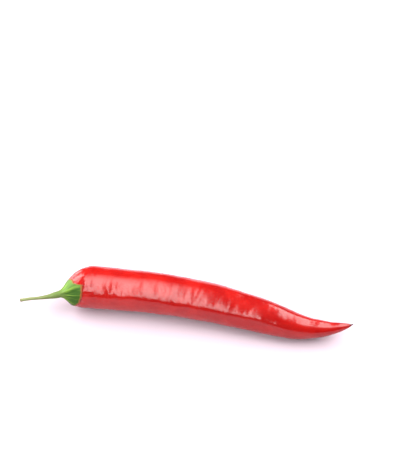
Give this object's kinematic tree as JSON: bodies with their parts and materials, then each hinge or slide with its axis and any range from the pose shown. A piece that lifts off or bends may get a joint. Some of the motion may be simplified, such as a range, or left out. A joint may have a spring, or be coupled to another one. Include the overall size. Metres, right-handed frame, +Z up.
{
  "type": "chilli pepper",
  "caption": "Long glossy red chilli pepper lying on its side, with a ribbed green calyx, a thin cut stem and a tapering hooked tip.",
  "frame": {"origin": "middle of the underside of the whole chilli's box, on the surface it lies on", "axes": "+X from the stem end to the tip, +Z up from the surface it lies on, -Y to the side that the stem leans towards"},
  "size_m": [0.1458, 0.0248, 0.0186],
  "materials": {
    "ripe_skin": "glossy waxy skin",
    "green_calyx": "satin, ribbed leafy tissue",
    "green_stem": "matte, finely furrowed"
  },
  "bodies": {
    "root": {"pod": "ripe_skin", "calyx": "green_calyx", "stem": "green_stem"}
  },
  "joints": []
}
